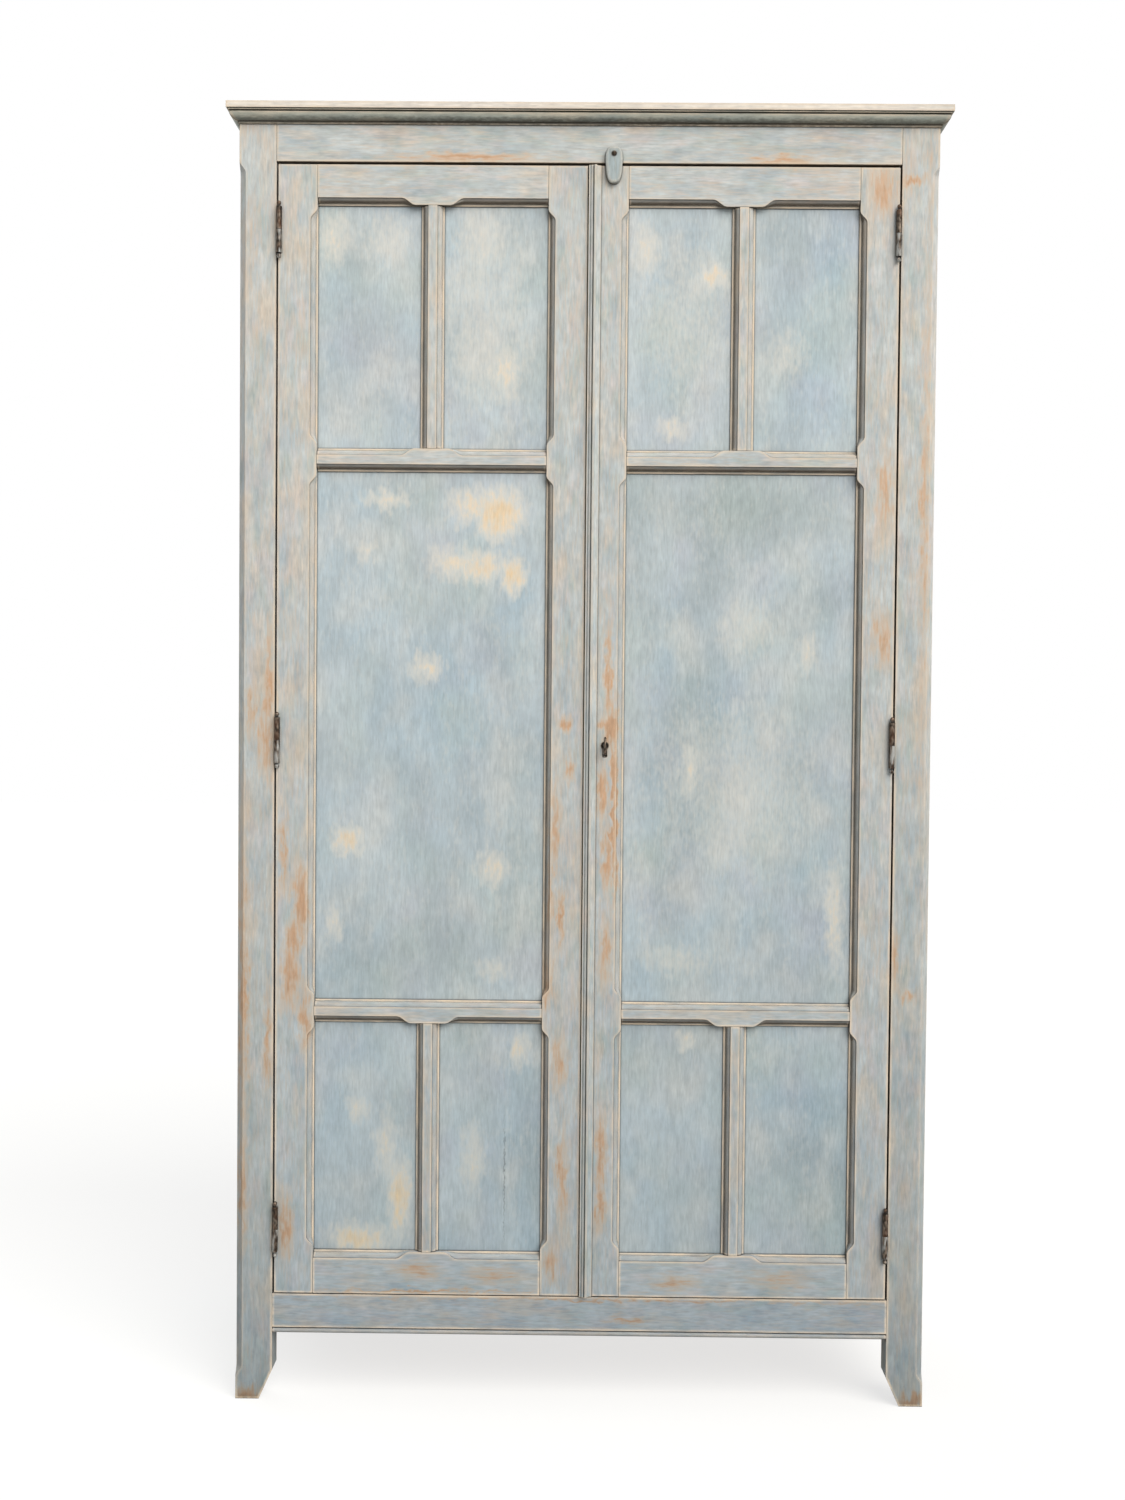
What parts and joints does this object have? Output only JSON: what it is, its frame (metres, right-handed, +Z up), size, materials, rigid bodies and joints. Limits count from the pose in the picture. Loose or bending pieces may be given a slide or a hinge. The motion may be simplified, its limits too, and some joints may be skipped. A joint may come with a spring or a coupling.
{
  "type": "cupboard",
  "caption": "Tall painted wooden cupboard with panelled doors on lift-off hinges, shelves inside, a moulded cornice, a key lock and a turn button.",
  "frame": {"origin": "on the floor, under the middle of the whole object's box", "axes": "+Z up, -Y towards the front with the doors, +X to the right seen from the front"},
  "size_m": [1.106, 0.492, 2],
  "materials": {
    "frame_paint": "matt grey chalk paint on pine, rubbed through along the edges",
    "panel_paint": "matt blue-grey chalk paint on pine, brushed, with rubbed cream patches",
    "cornice_paint": "matt grey-green chalk paint on pine, darker in the hollows",
    "bare_pine": "unpainted aged pine",
    "old_iron": "dark brown aged iron"
  },
  "bodies": {
    "carcass": {"front_post_left": "frame_paint", "front_post_right": "frame_paint", "rear_post_left": "frame_paint", "rear_post_right": "frame_paint", "frieze_rail": "frame_paint", "bottom_rail": "frame_paint", "side_panel_left": "frame_paint", "side_panel_right": "frame_paint", "top_board": "cornice_paint", "cornice_front": "cornice_paint", "cornice_left": "cornice_paint", "cornice_right": "cornice_paint", "back_panel": "bare_pine", "floor_board": "bare_pine", "shelf_lower": "bare_pine", "shelf_upper": "bare_pine", "hinge_left_top_frame_leaf": "old_iron", "hinge_left_middle_frame_leaf": "old_iron", "hinge_left_bottom_frame_leaf": "old_iron", "hinge_right_top_frame_leaf": "old_iron", "hinge_right_middle_frame_leaf": "old_iron", "hinge_right_bottom_frame_leaf": "old_iron", "turn_button_screw": "old_iron"},
    "left_door": {"left_door_hinge_stile": "frame_paint", "left_door_closing_stile": "frame_paint", "left_door_top_rail": "frame_paint", "left_door_upper_cross_rail": "frame_paint", "left_door_lower_cross_rail": "frame_paint", "left_door_bottom_rail": "frame_paint", "left_door_upper_muntin": "frame_paint", "left_door_lower_muntin": "frame_paint", "left_door_upper_inner_panel": "panel_paint", "left_door_upper_outer_panel": "panel_paint", "left_door_middle_panel": "panel_paint", "left_door_lower_inner_panel": "panel_paint", "left_door_lower_outer_panel": "panel_paint", "hinge_left_top_door_leaf": "old_iron", "hinge_left_middle_door_leaf": "old_iron", "hinge_left_bottom_door_leaf": "old_iron"},
    "right_door": {"right_door_hinge_stile": "frame_paint", "right_door_closing_stile": "frame_paint", "right_door_top_rail": "frame_paint", "right_door_upper_cross_rail": "frame_paint", "right_door_lower_cross_rail": "frame_paint", "right_door_bottom_rail": "frame_paint", "right_door_upper_muntin": "frame_paint", "right_door_lower_muntin": "frame_paint", "right_door_upper_inner_panel": "panel_paint", "right_door_upper_outer_panel": "panel_paint", "right_door_middle_panel": "panel_paint", "right_door_lower_inner_panel": "panel_paint", "right_door_lower_outer_panel": "panel_paint", "hinge_right_top_door_leaf": "old_iron", "hinge_right_middle_door_leaf": "old_iron", "hinge_right_bottom_door_leaf": "old_iron", "closing_strip": "frame_paint", "lock_case": "old_iron"},
    "turn_button": {"turn_button": "frame_paint"},
    "key": {"key": "old_iron"},
    "lock_bolt": {"lock_bolt": "old_iron"}
  },
  "joints": [
    {"name": "left_door_hinge", "type": "hinge", "parent": "carcass", "child": "left_door", "pos_m": [-0.4732, -0.219, 1.04], "axis": [0, 0, -1], "range_deg": [0, 170]},
    {"name": "right_door_hinge", "type": "hinge", "parent": "carcass", "child": "right_door", "pos_m": [0.4732, -0.219, 1.04], "axis": [0, 0, 1], "range_deg": [0, 170]},
    {"name": "turn_button_pivot", "type": "hinge", "parent": "carcass", "child": "turn_button", "pos_m": [0.038, -0.214, 1.926], "axis": [0, -1, 0], "range_deg": [0, 100]},
    {"name": "key_turn", "type": "hinge", "parent": "right_door", "child": "key", "pos_m": [0.03225, -0.214, 1.024], "axis": [0, 1, 0], "range_deg": [0, 360]},
    {"name": "lock_bolt_slide", "type": "slide", "parent": "right_door", "child": "lock_bolt", "axis": [-1, 0, 0], "range_m": [0, 0.014]}
  ],
  "couplings": [
    {"joint": "lock_bolt_slide", "follows": "key_turn", "m_per_rad": 0.002228}
  ]
}
